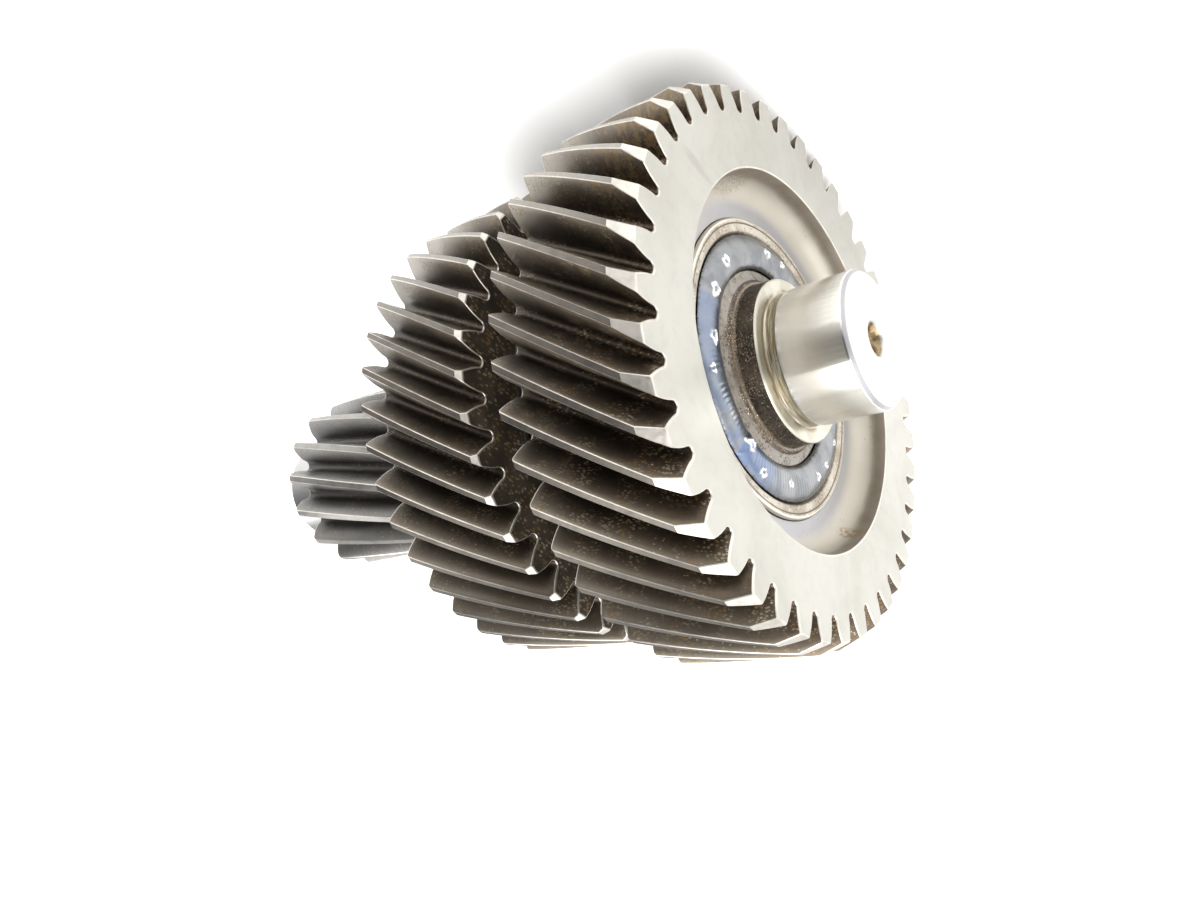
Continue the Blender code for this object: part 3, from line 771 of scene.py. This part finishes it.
def make_shaft():
    stations = [PINION_START + 1.0, PINION_START + PINION_BEVEL]
    stations += list(np.linspace(PINION_START + 4, PINION_END - 4, 26))
    stations += [PINION_END - PINION_BEVEL, PINION_END - 1.0]
    teeth = toothed_rings(PINION, PINION_START, PINION_END, stations, pinion_tip, 0.6, 0.6)
    first, last = teeth[0][2], teeth[-1][2]
    near, far = NEAR_END, FAR_END
    hole = [(near + 14.0, 0.6), (near + 13.0, 3.1), (near + 6.0, 3.15)]
    front = [(x, r, ENDS) for x, r in hole]
    front += [(near + 0.5, 6.2, ENDS), (near, CENTRE_MOUTH_R, ENDS), (near, 12.0, ENDS), (near, 18.0, ENDS),
              (near, 23.7, ENDS), (near + 0.15, 23.95, ENDS), (near + 1.1, 24.85, GROUND),
              (near + 1.5, JOURNAL_R, GROUND)]
    front += [(x, JOURNAL_R, GROUND) for x in np.linspace(near + 4, -3.2, 5)]
    front += [(-2.6, 24.95, STAINED), (-2.3, 24.5, STAINED), (-1.9, 24.3, STAINED), (-0.6, 24.25, STAINED),
              (0.9, 24.3, STAINED), (1.6, 24.6, STAINED), (1.95, 25.2, STAINED), (2.0, 26.0, STAINED),
              (2.0, 29.4, STAINED), (2.2, 30.1, STAINED), (2.6, COLLAR_R, SOOTY_SHADED), (6.0, COLLAR_R, SOOTY_SHADED),
              (9.4, COLLAR_R, SOOTY_SHADED), (10.2, 30.8, SOOTY_SHADED), (10.4, 31.6, SOOTY_SHADED), (10.9, 32.3, SOOTY_SHADED),
              (11.5, 32.7, SOOTY_SHADED), (12.0, 34.0, SOOTY_SHADED), (12.4, 35.4, SOOTY_SHADED), (12.6, WELD_INNER, SOOTY_SHADED),
              (FRONT_TOE + WELD_ROOT, SEAT, GROUND)]
    front += [(x, SEAT, GROUND) for x in np.linspace(30, REAR_TOE - WELD_ROOT, 6)]
    front += [(REAR_TOE, WELD_INNER, SOOTY_SHADED), (REAR_TOE + 0.6, 34.0, SOOTY_SHADED), (REAR_TOE + 1.8, 32.5, SOOTY_SHADED),
              (REAR_TOE + 6.0, 32.2, STAINED), (REAR_TOE + 10.0, 30.2, GROUND),
              (REAR_TOE + 13.0, NECK_R, GROUND), (PINION_START - 12.0, NECK_R, GROUND),
              (PINION_START - 0.5, NECK_R, GROUND),
              (PINION_START, 29.0, GROUND)]
    rear = [(PINION_END, NECK_R, GROUND), (PINION_END, 26.5, GROUND), (PINION_END + 0.4, 25.2, STAINED),
            (PINION_END + 1.0, 24.4, STAINED), (PINION_END + 3.0, 24.3, STAINED),
            (PINION_END + 3.8, JOURNAL_R, GROUND), (PINION_END + 8.0, JOURNAL_R, GROUND),
            (far - 1.5, JOURNAL_R, GROUND),
            (far - 1.1, 24.85, ENDS), (far - 0.15, 23.95, ENDS), (far, 23.7, ENDS), (far, 12.0, ENDS),
            (far, CENTRE_MOUTH_R, ENDS), (far - 0.5, 6.2, ENDS), (far - 6.0, 3.15, ENDS),
            (far - 13.0, 3.1, ENDS), (far - 14.0, 0.6, ENDS)]
    front, rear = held(front), held(rear)
    rings = [circle(x, r, first) for x, r, _ in front]
    kinds = [kind for _, _, kind in front]
    crisp = [len(rings)]
    for i, (x, radius, angles) in enumerate(teeth):
        rings.append(circle(x, radius, angles))
        kinds.append(SHAFT_EDGE if on_edge(i, len(teeth)) else SHAFT_TEETH)
    kinds[-1] = GROUND
    crisp.append(len(rings) - 1)
    rings += [circle(x, r, last) for x, r, _ in rear]
    kinds += [kind for _, _, kind in rear]
    kinds = np.array(kinds)
    lands, bevels = tip_columns(PINION)

    def paint(band, column):
        kind = kinds[band]
        kind = np.where((kind == SHAFT_TEETH) & lands[column], SHAFT_LAND, kind)
        return np.where((kind == SHAFT_TEETH) & bevels[column], SHAFT_EDGE, kind)

    shaft = loft("ground_pinion_shaft", rings,
                 [ground_steel("ground_journal"), end_steel("turned_shaft_end"),
                  stained_steel("stained_shoulder"), sooty_shaded_steel("sooty_and_shaded_collar"), pinion_flank, broken_edge,
                  pinion_land], paint, crisp=crisp)
    return place(shaft, "ground_shaft_steel", "pinion_shaft")


# ---------------------------------------------------------------- sleeve, spacer and weld beads

ROUND = np.linspace(0, FULL, 360, endpoint=False)


def turned_ring(name, outline_points, materials, kinds=None):
    rings = [circle(x, r, ROUND) for x, r in outline_points]
    kinds = np.array(kinds or [0] * len(rings))
    return loft(name, rings, materials, lambda band, column: kinds[band] + 0 * column, closed=True)


def make_sleeve():
    face, bore = SLEEVE_FACE, SEAT + GAP
    points = [(FRONT_TOE + WELD_ROOT, bore), (12.5, WELD_OUTER), (12.0, 51.2), (11.7, 53.2),
              (face + 0.1, 54.6), (face, 55.2), (face + 0.15, 55.9), (face + 0.7, 56.4),
              (face + 1.2, SLEEVE_R), (LARGE_END - 1.0, SLEEVE_R),
              (LARGE_END, SLEEVE_R - 1.0), (LARGE_END, bore)]
    sleeve = turned_ring("welded_hub_sleeve", points, [tinted_ring("heat_tinted_sleeve"), hidden],
                         [0] * 8 + [1] * 4)
    return place(sleeve, "heat_tinted_steel", "hub_sleeve")


def make_spacer():
    low, high, bore, outer = LARGE_END + GAP, SECOND_START + SECOND_WEB - GAP, SEAT + GAP, 57.0
    points = [(low, bore + 0.9), (low, outer - 0.9), (low + 0.9, outer), (high - 0.9, outer),
              (high, outer - 0.9), (high, bore + 0.9)]
    spacer = turned_ring("gear_spacer_ring", points, [oily_gap_shaded_face])
    return place(spacer, "plain_steel", "spacer_ring")


WELD_COLUMNS = 1080
# crown dimples that carry painted glints: angle in degrees, radius and size in millimetres
FRONT_GLINT_SPOTS = ((10.0, 45.5, 1.0), (27.7, 44.6, 1.2), (40.2, 44.3, 1.5), (70.6, 44.0, 1.3), (94.0, 46.6, 1.5),
               (107.8, 43.3, 2.2), (146.0, 47.0, 1.2), (160.1, 43.8, 2.0), (184.0, 43.8, 2.3),
               (205.0, 44.0, 2.0), (249.8, 44.2, 1.7), (264.0, 44.6, 1.3), (306.0, 44.0, 1.3),
               (338.0, 44.4, 1.2))
REAR_GLINT_SPOTS = ((12.0, 43.8, 1.6), (95.0, 43.4, 1.9), (171.0, 44.0, 1.4), (250.0, 43.7, 1.8))


def weld_bead(name, node, toe, side, glint_spots, seam, seed):
    """A convex bead; side is -1 where its crown faces the near journal.

    Each glint spot is a dimple given by an angle in degrees, a radius and a size, and carries a painted
    glint;
    the bead starts and stops at the seam.
    """
    rng = np.random.default_rng(seed)
    angles = np.linspace(0, FULL, WELD_COLUMNS, endpoint=False)
    wander = np.zeros((2, WELD_COLUMNS))
    for order in (3, 5, 8, 13, 21, 37, 61):
        phase, size = rng.uniform(0, FULL, 2), rng.uniform(0.5, 1.0, 2) / order ** 0.55
        wander += size[:, None] * np.sin(order * angles[None] + phase[:, None])
    inner = WELD_INNER + GAP + 0.3 + 0.22 * wander[0]
    outer = WELD_OUTER - GAP - 0.3 - 0.22 * np.abs(wander[1])
    middle, half = (inner + outer) / 2, (outer - inner) / 2
    seam_gap = (angles - math.radians(seam) + math.pi) % FULL - math.pi
    step = -0.75 * np.exp(-(seam_gap / 0.10) ** 2) * np.tanh(seam_gap / 0.012)
    rings, toes, painted_glint_marks = [], [], []
    across = np.linspace(-1, 1, 25)
    for t in across:
        crown = 2.5 * (1 - abs(t) ** 2.3) ** 0.8 if abs(t) < 1 else 0.0
        ripple = 0.05 * (1 - t * t) * np.sin(150 * angles + 5.0 * t * t)
        height = crown * (1 + 0.06 * wander[1]) + ripple + step * (1 - t * t)
        radius = middle + half * t
        mark = np.zeros(WELD_COLUMNS)
        for i, (painted_glint, glint_r, size) in enumerate(glint_spots):
            away = (angles - math.radians(painted_glint) + math.pi) % FULL - math.pi
            along, sideways = away * glint_r, radius - glint_r
            reach = np.sqrt((along / (1.25 * size)) ** 2 + (sideways / size) ** 2)
            turn = np.arctan2(sideways, along)
            reach = reach * (1 + 0.14 * np.sin(3 * turn + i) + 0.12 * np.sin(5 * turn + 2 * i))
            height = (height + 0.45 * np.exp(-((reach - 0.75) / 0.32) ** 2)
                      - 0.25 * np.exp(-(reach / 0.4) ** 2))
            # the painted glint mark: a bright ring round each dimple and a dark middle
            ring = np.exp(-((reach - 0.70) / 0.32) ** 4) * (1 - 0.7 * (np.sin(turn + i) > 0.8))
            mark = np.where(ring > mark, ring, mark) - np.exp(-(reach / 0.30) ** 4)
        rings.append(circle(toe + side * height, radius, angles))
        toes.append(np.full(WELD_COLUMNS, t))
        painted_glint_marks.append(mark)
    for depth, share in ((2.2, 0.62), (6.0, 0.04)):
        rings.append(circle(toe - side * depth, middle + (half - 0.9) * share, angles))
    rings.append(circle(toe - side * 2.2, middle - (half - 0.9) * 0.62, angles))
    toes += [np.ones(WELD_COLUMNS)] * 2 + [-np.ones(WELD_COLUMNS)]
    painted_glint_marks += [np.zeros(WELD_COLUMNS)] * 3
    bead = loft(name, rings, [weld_metal], lambda band, column: 0 * band, closed=True)
    for label, values in (("toe", toes), ("painted_glint", painted_glint_marks)):
        layer = bead.data.attributes.new(label, "FLOAT", "POINT")
        layer.data.foreach_set("value", np.concatenate(values).astype(np.float32))
    return place(bead, "weld_bead_steel", node)


make_large_gear()
make_second_gear()
make_shaft()
make_sleeve()
make_spacer()
weld_metal = weld_steel("blue_weld_metal")
weld_bead("front_weld", "front_weld_bead", FRONT_TOE, -1, FRONT_GLINT_SPOTS, WELD_SEAM, 3)
weld_bead("rear_weld", "rear_weld_bead", REAR_TOE, 1, REAR_GLINT_SPOTS, REAR_SEAM, 8)
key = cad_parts["second_gear_key"]
key.data.materials.clear()
key.data.materials.append(hidden)


# ---------------------------------------------------------------- floor, lights and camera

FLOOR_SIZE, FLOOR_GLOW = 60.0, 0.16


def pale_floor():
    size = FLOOR_SIZE
    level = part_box("large_gear")[0].z
    mesh = bpy.data.meshes.new("floor")
    mesh.from_pydata([(x, y, level) for x, y in ((-size, -size), (size, -size), (size, size), (-size, size))],
                     [], [(0, 1, 2, 3)])
    p = Paint("pale_floor")
    p.shader.inputs["Emission Color"].default_value = (1.0, 0.99, 0.98, 1.0)
    p.shader.inputs["Emission Strength"].default_value = FLOOR_GLOW
    p.done((0.93, 0.93, 0.92), 0.6, 0.0)
    mesh.materials.append(p.material)
    floor = bpy.data.objects.new("floor", mesh)
    bpy.context.scene.collection.objects.link(floor)


CAMERA_AT = Vector((-0.2692, -0.2496, 0.2101))
CAMERA_HEADING, CAMERA_PITCH, CAMERA_ROLL = 46.73, -29.33, -169.38
LENS = 29.15


def photo_camera():
    camera = bpy.data.cameras.new("camera")
    camera.lens, camera.sensor_width, camera.clip_start = LENS, 36.0, 0.01
    obj = bpy.data.objects.new("camera", camera)
    heading, pitch = math.radians(CAMERA_HEADING), math.radians(CAMERA_PITCH)
    level = math.cos(pitch)
    view = Vector((level * math.cos(heading), level * math.sin(heading), math.sin(pitch)))
    turn = view.to_track_quat("-Z", "Y").to_matrix().to_4x4()
    roll = Matrix.Rotation(math.radians(CAMERA_ROLL), 4, "Z")
    obj.matrix_world = Matrix.Translation(CAMERA_AT) @ turn @ roll
    bpy.context.scene.collection.objects.link(obj)
    bpy.context.scene.camera = obj


def soft_sun(name, towards, strength, spread):
    lamp = bpy.data.lights.new(name, "SUN")
    lamp.energy, lamp.angle = strength, math.radians(spread)
    obj = bpy.data.objects.new(name, lamp)
    obj.rotation_euler = Vector(towards).to_track_quat("-Z", "Y").to_euler()
    bpy.context.scene.collection.objects.link(obj)


NEAR_DARK, STRIP, STRIP_ENDS, FAR_SHARE, HORIZON = 0.12, 5.2, 0.75, 0.21, 0.75      # strengths of the sky


def studio():
    """A pale room with a bright strip overhead along the shaft.

    Beyond the strip it is grey on the near side and pale on the far side, past both of its ends it is plain,
    and round the horizon it is bright.
    """
    world = bpy.data.worlds.new("studio")
    bpy.context.scene.world = world
    world.use_nodes = True
    tree = world.node_tree

    def math_node(operation, a, b):
        made = tree.nodes.new("ShaderNodeMath")
        made.operation = operation
        for socket, value in zip(made.inputs, (a, b)):
            if isinstance(value, bpy.types.NodeSocket):
                tree.links.new(value, socket)
            else:
                socket.default_value = value
        return made.outputs[0]

    def rise(value, low, high, start, end):
        made = tree.nodes.new("ShaderNodeMapRange")
        made.interpolation_type = "SMOOTHSTEP"
        tree.links.new(value, made.inputs[0])
        for socket, number in zip(list(made.inputs)[1:5], (low, high, start, end)):
            socket.default_value = number
        return made.outputs[0]

    split = tree.nodes.new("ShaderNodeSeparateXYZ")
    tree.links.new(tree.nodes.new("ShaderNodeTexCoord").outputs["Generated"], split.inputs[0])
    along, across, up = split.outputs
    slope = math_node("DIVIDE", across, math_node("MAXIMUM", up, 0.02))
    strip = rise(slope, -0.56, -0.46, NEAR_DARK, STRIP)
    fall = rise(slope, -0.05, 0.4, 1.0, FAR_SHARE)
    ends = rise(math_node("ABSOLUTE", along, 0.0), 0.72, 0.9, 0.0, 1.0)
    overhead = math_node("MULTIPLY", math_node("MULTIPLY", strip, fall), math_node("SUBTRACT", 1.0, ends))
    room = math_node("ADD", overhead, math_node("MULTIPLY", ends, STRIP_ENDS))
    strength = math_node("ADD", room, rise(up, 0.0, 0.45, HORIZON, 0.0))
    background = tree.nodes["Background"]
    background.inputs["Color"].default_value = (1.0, 1.0, 1.0, 1.0)
    tree.links.new(strength, background.inputs["Strength"])
    bpy.context.scene.view_settings.view_transform = "Standard"
    soft_sun("key", (0.57, -0.27, -0.68), 1.35, 70)


pale_floor()
studio()
photo_camera()
